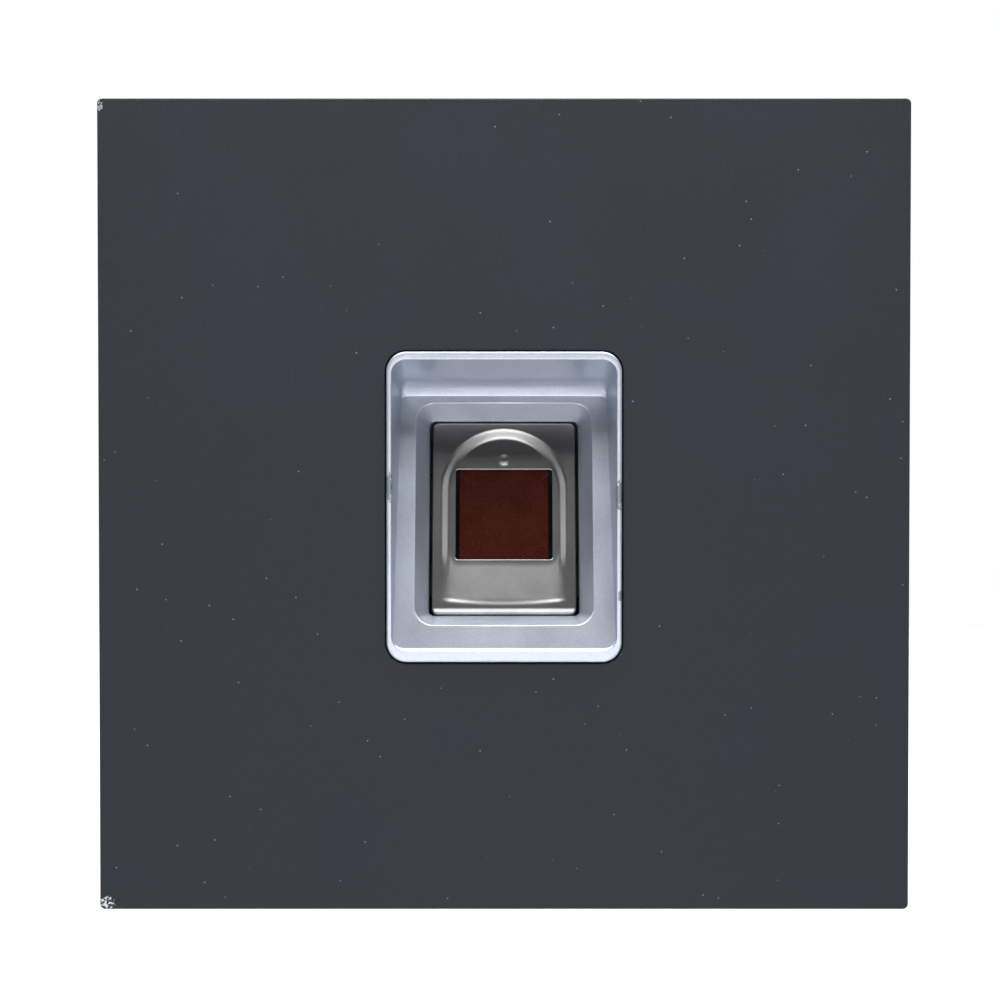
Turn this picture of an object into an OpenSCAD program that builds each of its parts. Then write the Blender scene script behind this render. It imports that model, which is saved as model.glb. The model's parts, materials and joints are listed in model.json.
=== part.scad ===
// Flush-mounting fingerprint reader module.
// The front faces -Y, +Z is up, and Y = 0 is the rear housing's mounting face.

/* [Front panel] */
// Side of the square front panel
panel_side = 112; // [104:0.5:120]
// Thickness of the front panel
panel_t = 3; // [2.5:0.1:4]
// Depth from the panel's front to the mounting face
module_depth = 34; // [33:0.5:40]
// Corner radius of the front panel
panel_corner_r = 0.4; // [0.2:0.1:2]

/* [Bezel] */
// Width of the bezel's rim
bezel_w = 32.5; // [31:0.1:34]
// Height of the bezel's rim
bezel_h = 42.9; // [42:0.1:44]
// Height of the bezel's centre above the panel's centre
bezel_z = -0.25; // [-1:0.05:1]
// Corner radius of the bezel
bezel_r = 2.75; // [2:0.05:4]
// How far the rim stands out of the panel
bezel_proud = 0.3; // [0.1:0.1:1]
// Wall thickness of the moulding
bezel_wall = 1.8; // [1.4:0.1:2.2]

/* [Finger recess] */
// Width of the recess at its mouth
recess_w = 31.1; // [30:0.1:32]
// Height of the recess at its mouth
recess_h = 40.2; // [39.5:0.1:40.6]
// Slope of the recess's floor from the panel, in degrees
tilt = 15; // [12:0.5:17]
// Draft of the side walls, in degrees
side_draft = 5.5; // [2:0.5:8]
// Draft of the top wall, in degrees
top_draft = 18; // [15:0.5:20]
// Radius of the cove at the foot of the top wall
cove_r = 2.6; // [2:0.1:3]

/* [Sensor seat] */
// Width of the tapered seat at the recess's floor
seat_w = 25; // [24.6:0.1:25.4]
// Length of the seat along the slope
seat_l = 32.1; // [31.8:0.1:32.4]
// Distance of the seat's centre up the slope
seat_v = 19.6; // [19:0.1:20]
// Depth of the seat below the recess's floor
seat_depth = 3.1; // [2.8:0.1:3.4]
// How far the seat's walls taper in on each side
seat_taper = 1.9; // [1.6:0.1:2]

/* [Guide plate] */
// Width of the stamped guide plate
guide_w = 20.3; // [20:0.1:20.6]
// Length of the guide plate along the slope
guide_l = 28; // [27.6:0.1:28.1]
// Thickness of the stamped sheet
sheet_t = 0.4; // [0.3:0.05:0.5]
// Depth of the finger pocket
pocket_depth = 0.7; // [0.5:0.05:0.9]
// Radius of the pocket's arch
pocket_r = 8.4; // [8:0.1:8.8]
// Width of the window
window_w = 13.6; // [13:0.1:14]
// Length of the window along the slope
window_l = 13; // [12:0.1:13.4]
// Distance of the window's centre up the slope
window_v = 20.3; // [20:0.1:20.6]

/* [Rear housing] */
// Side of the square rear housing
housing_side = 100; // [98:0.5:102]
// Wall thickness of the rear housing
housing_wall = 2.2; // [1.8:0.1:2.5]
// Thickness of the housing's rear wall
floor_t = 2.5; // [2:0.1:3]
// Corner radius of the rear housing
housing_r = 4; // [3:0.5:6]
// Spacing of the frame's screw holes across
frame_pitch_x = 70; // [68:0.5:72]
// Spacing of the frame's screw holes up
frame_pitch_z = 46; // [44:0.5:48]

/* [Electronics] */
// Width of the main board
board_w = 84; // [80:1:84]
// Height of the main board
board_h = 70; // [68:1:70]
// Thickness of the boards
board_t = 1.6; // [1:0.2:1.6]

/* [Tamper plunger] */
// Travel of the plunger
plunger_travel = 2.2; // [1.8:0.1:2.2]
// Radius of the plunger's shaft
plunger_r = 2.5; // [2.2:0.1:2.8]

/* [Hidden] */

$fn = 64;
hull_fn = 24;
eps = 0.05;
// A cutter runs this far past the face it opens.
over = 1;

front_y = -module_depth;
panel_back_y = front_y + panel_t;
seal_t = 1;
// The foot of the slope, where the floor meets the rim
lip = 0.3;
slope_z = -recess_h / 2;
mouth_r = 2;
recess_reach = 12;
// Where the cove meets the slope, and how far the top wall drops before the cove
crease_z = slope_z + 35.4;
top_drop = 2.6;

// Bezel flange and its screws
flange_w = 50;
flange_h = 56;
flange_t = 2.5;
flange_y = panel_back_y + seal_t;
bezel_screw_x = 20.6;
bezel_screw_z = 18;
bezel_screw_len = 5;
m25_thread_r = 1.05;
m25_clear_r = 1.4;
m25_head_r = 2.35;

// Housing screws and their bosses
corner_screw = 43;
boss_r = 4;
boss_len = 7;
boss_gap = 0.2;
column_r = 5;
m3_thread_r = 1.25;
m3_clear_r = 1.7;
m3_head_r = 2.8;
m3_head_t = 2;
m3_len = 8;
head_seat_t = 2.8;
counterbore_r = 3.2;
housing_front_y = panel_back_y + seal_t;
column_front_y = panel_back_y + boss_len + boss_gap;

// A modelled screw is its thread's core, with this much room in its hole.
screw_play = 0.02;

// Frame inserts
insert_r = 2.3;
insert_len = 5.5;
insert_boss_r = 4;
insert_boss_len = 7.5;

// Main board
board_y = -12;
board_front_y = board_y - board_t;
board_screw_x = 38;
board_screw_z = 31;
post_r = 3;

// Sensor unit, in the slope's own frame: w is the depth below the slope, v the distance up it
guide_w0 = seat_depth;
pan_t = pocket_depth + sheet_t;
ear_w0 = 5.4;
ear_t = 1.6;
ear_x = 13.2;
ear_low_v = 11;
ear_high_v = 29;
ear_boss_r = 2.2;
ear_half = 2.4;
m2_thread_r = 0.8;
m2_clear_r = 1.1;
m2_head_r = 1.9;
seat_opening_w = seat_w - 2 * seat_taper;
seat_opening_l = seat_l - 2 * seat_taper;
unit_w = 19.6;
unit_rear_y = -14.4;
unit_wall = 1.2;
unit_low_v = seat_v - guide_l / 2 + 0.8;
unit_high_v = seat_v + guide_l / 2 - 0.8;
// The platen lies under the window, against the pocket's sheet.
platen_w0 = guide_w0 + pan_t;
platen_t = 0.9;
platen_w = 16.2;
platen_l = 15.6;
unit_front_w = platen_w0 + platen_t + 0.02;
prism_w0 = platen_w0 + platen_t + 0.05;
prism_l = 13.4;
prism_w = 14.6;
axis_drop = 1.2;
led_w0 = prism_w0 + 2.8;
led_v = window_v + prism_l / 2 + 2.6;

// Flat cable from the sensor board down to the main board
cable_w = 8;
cable_t = 0.3;
cable_y = unit_rear_y - 2.35;
cable_top_z = -10.75;
cable_low_z = -27.2;

// Bus sockets
socket_w = 14;
socket_h = 8;
socket_wall = 1;
socket_x = 13;
socket_z = -24;
socket_mouth_y = -0.6;
socket_floor = 2;
pin_side = 0.6;
pin_len = 3;
pin_pitch = 2;

// Tamper plunger
tamper_x = -30;
tamper_z = 14;
switch_top_y = -8.5;
collar_y = -4.2;
collar_t = 1;
collar_r = 3.6;
nose_r = 1.2;
nose_len = 3.8;
running_gap = 0.05;
spring_wire_r = 0.16;
spring_r = 2.1;
spring_turns = 2.5;

function slope_depth(z) = lip + (z - slope_z) * tan(tilt);

// Geometry helpers

module rounded(w, h, r) {
    square([w - 2 * r, h], center = true);
    square([w, h - 2 * r], center = true);
    for (x = [-1, 1], z = [-1, 1])
        translate([x * (w / 2 - r), z * (h / 2 - r)])
            circle(r);
}

// An outline drawn in X and Z, from y0 to y1
module slab(y0, y1) {
    translate([0, y1, 0])
        rotate([90, 0, 0])
            linear_extrude(y1 - y0)
                children();
}

module rod_y(y0, y1, r) {
    translate([0, y1, 0])
        rotate([90, 0, 0])
            cylinder(h = y1 - y0, r = r);
}

module at_corners(x, z) {
    for (sx = [-1, 1], sz = [-1, 1])
        translate([sx * x, 0, sz * z])
            children();
}

// The slope's frame: X across, Y into the slope, Z up the slope
module on_slope() {
    translate([0, front_y + lip, slope_z])
        rotate([-tilt, 0, 0])
            children();
}

// A pan-head screw that points to -Y, its head's underside at y = 0
module screw(len, r, head_r, head_t) {
    difference() {
        union() {
            rod_y(-len, 0, r);
            rod_y(0, head_t, head_r);
        }
        // Cross recess
        for (a = [0, 90])
            translate([0, head_t, 0])
                rotate([0, a, 0])
                    cube([head_r * 1.1, head_t, head_r * 0.28], center = true);
    }
}

// A rounded outline that tapers from one size to another between two depths
module tapered(y0, w0, h0, r0, y1, w1, h1, r1) {
    hull() {
        slab(y0, y0 + eps) rounded(w0, h0, r0, $fn = hull_fn);
        slab(y1 - eps, y1) rounded(w1, h1, r1, $fn = hull_fn);
    }
}

// Points along the arc from a to b, which bulges to the chord's left
function arc_points(a, b, r, steps) = let(
    half = norm(b - a) / 2,
    along = (b - a) / (2 * half),
    left = [-along[1], along[0]],
    centre = (a + b) / 2 - left * sqrt(r * r - half * half),
    from = atan2(a[1] - centre[1], a[0] - centre[0]),
    to = atan2(b[1] - centre[1], b[0] - centre[0])
) [for (k = [0:steps]) let(t = from + (to - from) * k / steps) centre + r * [cos(t), sin(t)]];

// The recess's side profile in depth and height, grown by a wall
module recess_profile(grow, front) {
    crease = [slope_depth(crease_z), crease_z];
    wall_foot = [top_drop / tan(top_draft), recess_h / 2 - top_drop];
    chord = (wall_foot - crease) / norm(wall_foot - crease);
    out = [chord[1], -chord[0]];
    cove = arc_points(wall_foot + grow * out, crease + grow * out, cove_r + grow, 8);
    polygon(concat(
        [[front, recess_h / 2 + grow]],
        [[grow / 2, recess_h / 2 + grow]],
        cove,
        [[lip + grow, slope_z - grow], [front, slope_z - grow]]
    ));
}

// The main recess: its side profile, cut to the drafted outline
module recess(grow, front) {
    depth = recess_reach + grow;
    shrink = 2 * depth * tan(side_draft);
    intersection() {
        translate([-panel_side / 2, front_y, 0])
            rotate([90, 0, 90])
                linear_extrude(panel_side)
                    recess_profile(grow, front);
        tapered(
            front_y + front, recess_w + 2 * grow, recess_h + 2 * grow, mouth_r + grow,
            front_y + depth, recess_w + 2 * grow - shrink, recess_h + 2 * grow, 1.2 + grow
        );
    }
}

// The tapered sensor seat, below the slope
module seat(grow) {
    on_slope()
        translate([0, 0, seat_v])
            tapered(
                -eps, seat_w + 2 * grow, seat_l + 2 * grow, 2.75 + grow,
                seat_depth + grow, seat_opening_w + 2 * grow, seat_opening_l + 2 * grow, 0.8 + grow
            );
}

// Front

module front_panel() {
    color("#383d45")
    difference() {
        union() {
            slab(front_y, panel_back_y) rounded(panel_side, panel_side, panel_corner_r);
            at_corners(corner_screw, corner_screw)
                rod_y(panel_back_y - eps, panel_back_y + boss_len, boss_r);
            translate([0, 0, bezel_z])
                at_corners(bezel_screw_x, bezel_screw_z)
                    rod_y(panel_back_y - eps, flange_y, m25_head_r + 0.4);
        }
        translate([0, 0, bezel_z])
            slab(front_y - over, panel_back_y + over)
                rounded(bezel_w + 0.4, bezel_h + 0.4, bezel_r + 0.2);
        at_corners(corner_screw, corner_screw)
            rod_y(panel_back_y + 1, panel_back_y + boss_len + over, m3_thread_r);
        translate([0, 0, bezel_z])
            at_corners(bezel_screw_x, bezel_screw_z)
                rod_y(front_y + 1.1, flange_y + over, m25_thread_r);
    }
}

module finger_bezel() {
    color("#ccd2de")
    difference() {
        union() {
            translate([0, 0, bezel_z]) {
                slab(front_y - bezel_proud, flange_y + eps) rounded(bezel_w, bezel_h, bezel_r);
                slab(flange_y, flange_y + flange_t) rounded(flange_w, flange_h, 3);
            }
            intersection() {
                recess(bezel_wall, 0);
                slab(flange_y, 0) square(panel_side, center = true);
            }
            intersection() {
                seat(bezel_wall);
                slab(flange_y, 0) square(panel_side, center = true);
            }
            on_slope()
                for (v = [ear_low_v, ear_high_v], x = [-ear_x, ear_x])
                    translate([x, 0, v])
                        rod_y(bezel_wall * 0.6, ear_w0, ear_boss_r);
        }
        recess(0, -over);
        seat(0);
        on_slope()
            translate([0, 0, seat_v])
                slab(0, seat_depth + 3 * bezel_wall)
                    rounded(seat_opening_w, seat_opening_l, 0.8);
        on_slope()
            for (v = [ear_low_v, ear_high_v], x = [-ear_x, ear_x])
                translate([x, 0, v])
                    rod_y(bezel_wall + 0.2, ear_w0 + over, m2_thread_r);
        translate([0, 0, bezel_z])
            at_corners(bezel_screw_x, bezel_screw_z)
                rod_y(flange_y - over, flange_y + flange_t + over, m25_clear_r);
    }
}

module bezel_gasket() {
    color("#26282b")
    translate([0, 0, bezel_z])
        difference() {
            slab(panel_back_y, flange_y) rounded(flange_w, flange_h, 3);
            slab(panel_back_y - over, flange_y + over)
                rounded(bezel_w + 1, bezel_h + 1, bezel_r + 0.5);
            at_corners(bezel_screw_x, bezel_screw_z)
                rod_y(panel_back_y - over, flange_y + over, m25_head_r + 0.6);
        }
}

module bezel_screws() {
    color("#a9abb0")
    translate([0, flange_y + flange_t, bezel_z])
        at_corners(bezel_screw_x, bezel_screw_z)
            screw(bezel_screw_len, m25_thread_r - screw_play, m25_head_r, 1.6);
}

// Sensor unit

// The finger pocket's outline: a half-round arch on straight sides, shrunk by an inset
module pocket_outline(inset) {
    arch_v = guide_l / 2 - 1 - pocket_r;
    low_v = -guide_l / 2 + 1.9;
    translate([0, arch_v]) circle(pocket_r - inset);
    translate([-(pocket_r - inset), low_v + inset])
        square([2 * (pocket_r - inset), arch_v - low_v - inset]);
}

module guide_plate() {
    color("#8b8c90")
    on_slope()
        difference() {
            translate([0, 0, seat_v])
                slab(guide_w0, guide_w0 + pan_t) rounded(guide_w, guide_l, 0.8);
            translate([0, 0, seat_v])
                slab(guide_w0 - over, guide_w0 + pocket_depth) pocket_outline(0);
            // Under the rim of the pan
            translate([0, 0, seat_v])
                slab(guide_w0 + sheet_t, guide_w0 + pan_t + over)
                    difference() {
                        rounded(guide_w - 2 * sheet_t, guide_l - 2 * sheet_t, 0.4);
                        pocket_outline(-sheet_t);
                    }
            translate([0, 0, window_v])
                slab(guide_w0 - over, guide_w0 + pan_t + over) rounded(window_w, window_l, 0.35);
            // Locating dimple above the window
            translate([0, guide_w0 + pocket_depth - 0.6, window_v + window_l / 2 + 2])
                sphere(0.95);
        }
}

module platen_glass() {
    color("#40190f")
    on_slope()
        translate([0, 0, window_v])
            slab(platen_w0, platen_w0 + platen_t) rounded(window_w + 0.4, window_l + 0.4, 0.3);
}

module platen_mask() {
    strip_w = 0.75;
    color("#1c1b1d")
    on_slope()
        for (side = [-1, 1])
            translate([side * (window_w / 2 - strip_w / 2), 0, window_v])
                slab(platen_w0 - 0.12, platen_w0)
                    square([strip_w, window_l - 0.8], center = true);
}

module platen_seal() {
    color("#1f2022")
    on_slope()
        translate([0, 0, window_v])
            slab(platen_w0, platen_w0 + platen_t)
                difference() {
                    rounded(platen_w, platen_l, 0.8);
                    rounded(window_w + 0.5, window_l + 0.5, 0.35);
                }
}

module prism() {
    color("#7c3a2c")
    on_slope()
        translate([-prism_w / 2, prism_w0, window_v])
            rotate([90, 0, 90])
                linear_extrude(prism_w)
                    polygon([[0, -prism_l / 2], [prism_l / 2, 0], [0, prism_l / 2]]);
}

// The light box's side profile in Y and Z: square to the slope, cut off upright at the rear
module unit_profile(inset) {
    intersection() {
        translate([front_y + lip, slope_z])
            rotate(-tilt)
                translate([unit_front_w + inset, unit_low_v + inset])
                    square([module_depth, unit_high_v - unit_low_v - 2 * inset]);
        translate([front_y, -panel_side / 2])
            square([unit_rear_y - inset - front_y, panel_side]);
    }
}

module unit_block(side, inset) {
    translate([-side / 2, 0, 0])
        rotate([90, 0, 90])
            linear_extrude(side)
                unit_profile(inset);
}

module sensor_housing() {
    ear_w = ear_x + ear_half;
    color("#1d1e20")
    difference() {
        union() {
            unit_block(unit_w, 0);
            on_slope()
                for (v = [ear_low_v, ear_high_v])
                    translate([-ear_w, ear_w0, v - ear_half])
                        cube([2 * ear_w, ear_t, 2 * ear_half]);
        }
        unit_block(unit_w - 2 * unit_wall, unit_wall);
        // Light window behind the platen
        on_slope()
            translate([0, 0, window_v])
                slab(platen_w0, platen_w0 + platen_t + 2) rounded(prism_w + 0.3, prism_l + 0.3, 0.3);
        on_slope()
            for (v = [ear_low_v, ear_high_v], x = [-ear_x, ear_x])
                translate([x, 0, v])
                    rod_y(ear_w0 - over, ear_w0 + ear_t + over, m2_clear_r);
        // Slot for the flat cable
        translate([-cable_w / 2 - 0.5, cable_y - 0.25, -40])
            cube([cable_w + 1, 0.8, 30]);
    }
}

module sensor_screws() {
    color("#a9abb0")
    on_slope()
        for (v = [ear_low_v, ear_high_v], x = [-ear_x, ear_x])
            translate([x, ear_w0 + ear_t, v])
                screw(4, m2_thread_r - screw_play, m2_head_r, 1.3);
}

// Along the optical axis, which leaves the prism's lower leg square on: y runs along the axis
module on_axis() {
    on_slope()
        translate([0, prism_w0 + prism_l / 4, window_v - prism_l / 4])
            rotate([-45, 0, 0])
                children();
}

module lens_barrel() {
    color("#232427")
    on_axis()
        difference() {
            rod_y(axis_drop, axis_drop + 3.4, 2.6);
            rod_y(axis_drop - over, axis_drop + 4, 1.7);
            rod_y(axis_drop + 1, axis_drop + 2.2, 2.1);
        }
}

module lens() {
    color("#b9cdd6")
    on_axis()
        rod_y(axis_drop + 1.02, axis_drop + 2.18, 2.08);
}

module image_sensor() {
    color("#2b2d31")
    on_axis()
        translate([0, axis_drop + 3.5 + 0.4, 0])
            cube([5.5, 0.8, 3.6], center = true);
}

module sensor_board() {
    color("#1e5b3a")
    on_axis()
        translate([0, axis_drop + 4.3 + 0.4, 0])
            cube([13, 0.8, 5.2], center = true);
}

module led_board() {
    color("#1e5b3a")
    on_slope()
        translate([0, led_w0, led_v])
            cube([13, 3, 0.8], center = true);
}

module platen_leds() {
    color("#c8322a")
    on_slope()
        for (x = [-4.5, -1.5, 1.5, 4.5])
            translate([x, led_w0, led_v - 0.75])
                cube([1.6, 1.6, 0.7], center = true);
}

// Main board

module sensor_cable() {
    plug_y = board_front_y - 1;
    color("#c9c3b4")
    translate([-cable_w / 2, 0, 0])
        rotate([90, 0, 90])
            linear_extrude(cable_w)
                polygon([
                    [cable_y, cable_top_z], [cable_y + cable_t, cable_top_z],
                    [cable_y + cable_t, cable_low_z + cable_t], [plug_y, cable_low_z + cable_t],
                    [plug_y, cable_low_z], [cable_y, cable_low_z]
                ]);
}

module cable_connector() {
    height = 2;
    color("#e6e2d6")
    difference() {
        translate([-cable_w / 2 - 2, board_front_y - height, cable_low_z - 2.8])
            cube([cable_w + 4, height, 4]);
        translate([-cable_w / 2 - 0.1, board_front_y - height - over, cable_low_z - 0.1])
            cube([cable_w + 0.2, over + 1.2, cable_t + 0.2]);
    }
}

module main_board() {
    color("#1e5b3a")
    difference() {
        slab(board_front_y, board_y) rounded(board_w, board_h, 1.5);
        at_corners(board_screw_x, board_screw_z)
            rod_y(board_front_y - over, board_y + over, m25_clear_r);
    }
}

module board_screws() {
    color("#a9abb0")
    at_corners(board_screw_x, board_screw_z)
        translate([0, board_front_y, 0])
            rotate([0, 0, 180])
                screw(5, m25_thread_r - screw_play, m25_head_r, 1.6);
}

// A chip body on the board's front
module front_chip(x, z, w, h, t) {
    translate([x - w / 2, board_front_y - t, z - h / 2])
        cube([w, t, h]);
}

module processor() {
    color("#2a2b2e") front_chip(-26, 2, 14, 14, 1.2);
}

module flash_memory() {
    color("#303134") front_chip(-26, -14, 8, 6, 1.2);
}

module bus_transceiver() {
    color("#303134") front_chip(26, -20, 5, 6, 1.6);
}

module clock_crystal() {
    color("#b8babd") front_chip(-14.5, -24, 5, 3.2, 1.2);
}

module power_inductor() {
    color("#3a3c40") front_chip(27, 8, 8, 8, 3.6);
}

module filter_capacitors() {
    color("#8f9297")
    for (z = [-8, 20, 28])
        translate([27, board_front_y, z])
            rod_y(-6, 0, 3.15);
}

// Rear

module bus_socket(x) {
    color("#ded9cb")
    translate([x, 0, socket_z])
        difference() {
            slab(board_y, socket_mouth_y) square([socket_w, socket_h], center = true);
            slab(board_y + socket_floor, 0)
                square([socket_w - 2 * socket_wall, socket_h - 2 * socket_wall], center = true);
            // Keying slot in the upper wall
            translate([0, -3, socket_h / 2])
                cube([3, 6, 2 * socket_wall + 0.4], center = true);
            for (k = [-2:2])
                translate([k * pin_pitch, board_y + 1, 0])
                    cube([pin_side + 0.02, 4, pin_side + 0.02], center = true);
        }
}

module bus_in_socket() {
    bus_socket(-socket_x);
}

module bus_out_socket() {
    bus_socket(socket_x);
}

module socket_pins() {
    color("#c9a646")
    for (x = [-socket_x, socket_x], k = [-2:2])
        translate([x + k * pin_pitch - pin_side / 2, board_y, socket_z - pin_side / 2])
            cube([pin_side, socket_floor + pin_len, pin_side]);
}

module tamper_switch() {
    color("#222326")
    translate([tamper_x, 0, tamper_z])
        difference() {
            slab(board_y, switch_top_y) square(8, center = true);
            rod_y(board_y + 0.5, switch_top_y + over, nose_r + running_gap);
        }
}

module tamper_plunger() {
    color("#d8d8d4")
    translate([tamper_x, 0, tamper_z]) {
        rod_y(collar_y - collar_t - nose_len, collar_y - collar_t, nose_r);
        rod_y(collar_y - collar_t, collar_y, collar_r);
        rod_y(collar_y, plunger_travel - 0.6, plunger_r);
        translate([0, plunger_travel - 0.6, 0])
            rotate([-90, 0, 0])
                cylinder(h = 0.6, r1 = plunger_r, r2 = plunger_r - 0.6);
    }
}

// Coil of round wire between the switch and the plunger's collar
module tamper_spring() {
    y0 = switch_top_y + spring_wire_r + 0.03;
    rise = collar_y - collar_t - switch_top_y - 2 * spring_wire_r - 0.06;
    steps = 60;
    sides = 8;
    point = function(k, s) let(
        a = 360 * spring_turns * k / steps, b = 360 * s / sides,
        r = spring_r + spring_wire_r * cos(b)
    ) [r * cos(a), y0 + rise * k / steps + spring_wire_r * sin(b), r * sin(a)];
    points = [for (k = [0:steps], s = [0:sides - 1]) point(k, s)];
    walls = [
        for (k = [0:steps - 1], s = [0:sides - 1])
            let(t = (s + 1) % sides)
            [k * sides + s, (k + 1) * sides + s, (k + 1) * sides + t, k * sides + t]
    ];
    first = [for (s = [0:sides - 1]) s];
    last = [for (s = [sides - 1:-1:0]) steps * sides + s];
    color("#b9bcc2")
    translate([tamper_x, 0, tamper_z])
        polyhedron(points, concat(walls, [first, last]));
}

module housing_seal() {
    color("#202123")
    slab(panel_back_y, housing_front_y)
        difference() {
            rounded(housing_side, housing_side, housing_r);
            rounded(
                housing_side - 2 * housing_wall, housing_side - 2 * housing_wall,
                housing_r - housing_wall
            );
        }
}

module rear_housing() {
    inner = housing_side - 2 * housing_wall;
    color("#2b2d30")
    difference() {
        union() {
            difference() {
                slab(housing_front_y, 0) rounded(housing_side, housing_side, housing_r);
                slab(housing_front_y - over, -floor_t)
                    rounded(inner, inner, housing_r - housing_wall);
            }
            at_corners(corner_screw, corner_screw)
                rod_y(column_front_y, -floor_t + eps, column_r);
            at_corners(board_screw_x, board_screw_z)
                rod_y(board_y, -floor_t + eps, post_r);
            at_corners(frame_pitch_x / 2, frame_pitch_z / 2)
                rod_y(-insert_boss_len, -floor_t + eps, insert_boss_r);
            translate([tamper_x, 0, tamper_z])
                rod_y(collar_y, -floor_t + eps, plunger_r + 1.6);
        }
        at_corners(corner_screw, corner_screw) {
            rod_y(column_front_y - over, over, m3_clear_r);
            rod_y(column_front_y + head_seat_t, over, counterbore_r);
        }
        at_corners(board_screw_x, board_screw_z)
            rod_y(board_y - over, board_y + 6, m25_thread_r);
        at_corners(frame_pitch_x / 2, frame_pitch_z / 2)
            rod_y(-insert_len - 0.5, over, insert_r);
        translate([tamper_x, 0, tamper_z])
            rod_y(collar_y - over, over, plunger_r + running_gap);
        for (x = [-socket_x, socket_x])
            translate([x, 0, socket_z])
                slab(-floor_t - over, over)
                    square([socket_w + 0.3, socket_h + 0.3], center = true);
    }
}

module housing_screws() {
    color("#a9abb0")
    translate([0, column_front_y + head_seat_t, 0])
        at_corners(corner_screw, corner_screw)
            screw(m3_len, m3_thread_r - screw_play, m3_head_r, m3_head_t);
}

module frame_inserts() {
    color("#c2a14a")
    at_corners(frame_pitch_x / 2, frame_pitch_z / 2)
        difference() {
            rod_y(-insert_len, 0, insert_r);
            rod_y(-insert_len - over, over, m3_thread_r);
        }
}

front_panel();
finger_bezel();
bezel_gasket();
bezel_screws();
guide_plate();
platen_glass();
platen_mask();
platen_seal();
prism();
sensor_housing();
sensor_screws();
lens_barrel();
lens();
image_sensor();
sensor_board();
led_board();
platen_leds();
sensor_cable();
cable_connector();
main_board();
board_screws();
processor();
flash_memory();
bus_transceiver();
clock_crystal();
power_inductor();
filter_capacitors();
bus_in_socket();
bus_out_socket();
socket_pins();
tamper_switch();
tamper_plunger();
tamper_spring();
housing_seal();
rear_housing();
housing_screws();
frame_inserts();
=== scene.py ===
import json
import math
import bmesh
import bpy
import numpy as np
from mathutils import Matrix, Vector


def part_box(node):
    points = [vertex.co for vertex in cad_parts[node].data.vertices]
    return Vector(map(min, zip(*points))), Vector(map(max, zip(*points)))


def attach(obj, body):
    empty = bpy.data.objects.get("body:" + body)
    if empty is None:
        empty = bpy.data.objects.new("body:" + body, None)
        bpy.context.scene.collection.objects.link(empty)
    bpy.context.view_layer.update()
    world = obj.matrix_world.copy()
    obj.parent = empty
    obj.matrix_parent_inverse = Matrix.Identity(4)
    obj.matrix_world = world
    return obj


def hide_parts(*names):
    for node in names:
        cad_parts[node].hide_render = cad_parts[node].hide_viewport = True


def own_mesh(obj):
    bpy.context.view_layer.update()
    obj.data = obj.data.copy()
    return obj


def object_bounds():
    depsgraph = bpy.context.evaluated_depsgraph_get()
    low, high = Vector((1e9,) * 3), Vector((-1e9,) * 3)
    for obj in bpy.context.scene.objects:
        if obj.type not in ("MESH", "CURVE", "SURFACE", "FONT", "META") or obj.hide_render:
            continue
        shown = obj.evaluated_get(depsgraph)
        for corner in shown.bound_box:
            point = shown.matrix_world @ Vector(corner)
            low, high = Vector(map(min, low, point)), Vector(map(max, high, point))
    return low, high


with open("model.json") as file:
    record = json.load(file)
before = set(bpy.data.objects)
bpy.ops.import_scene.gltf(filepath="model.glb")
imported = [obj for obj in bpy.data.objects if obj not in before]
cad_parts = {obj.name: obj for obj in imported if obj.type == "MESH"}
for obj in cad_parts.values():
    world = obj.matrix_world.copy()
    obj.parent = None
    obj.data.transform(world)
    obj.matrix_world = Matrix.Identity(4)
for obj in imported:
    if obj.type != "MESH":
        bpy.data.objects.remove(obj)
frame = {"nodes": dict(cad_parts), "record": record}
cadLow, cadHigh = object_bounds()
mm = 0.001

nodeSlot = {part["node"]: part["material_slot"] for part in frame["record"]["subparts"]}
nodeBody = {node: body for body, nodes in frame["record"]["behaviour"]["bodies"].items() for node in nodes}


def millimetreBox(node):
    low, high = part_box(node)
    return np.array(low) / mm, np.array(high) / mm


panelLow, panelHigh = millimetreBox("front_panel")
panelFront = panelLow[1]
rimFront = millimetreBox("finger_bezel")[0][1]

# The slope that the finger lies on, shared by the bezel, the guide plate and the sensor unit (mm, degrees)
slope = {
    "tilt": 15.0,
    "foot": -20.1,      # its lowest height, at the recess's mouth
    "lip": 0.3,         # its depth there behind the panel's front
    "middle": 19.6,     # the seat's middle, measured up the slope
}
slopeSin = math.sin(math.radians(slope["tilt"]))
slopeCos = math.cos(math.radians(slope["tilt"]))


def onSlope(across, up, deep):
    # From sizes along the slope to the object's own axes, in mm
    y = panelFront + slope["lip"] + deep * slopeCos + up * slopeSin
    z = slope["foot"] + up * slopeCos - deep * slopeSin
    return np.stack(np.broadcast_arrays(across, y, z), axis=-1)


def sloped(shape, deep):
    return onSlope(shape[:, 0], shape[:, 1], deep)


# Materials: sRGB hex to linear, one function that adds a node to any tree, one that builds the common layers

def srgb(hexText):
    channels = [int(hexText[k:k + 2], 16) / 255 for k in (1, 3, 5)]
    return tuple(c / 12.92 if c <= 0.04045 else ((c + 0.055) / 1.055) ** 2.4 for c in channels) + (1.0,)


def addNode(tree, kind, inputs=None, **settings):
    node = tree.nodes.new(kind)
    for key, value in settings.items():
        setattr(node, key, value)
    for key, value in (inputs or {}).items():
        if isinstance(value, bpy.types.NodeSocket):
            tree.links.new(value, node.inputs[key])
        else:
            node.inputs[key].default_value = value
    return node.outputs


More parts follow.
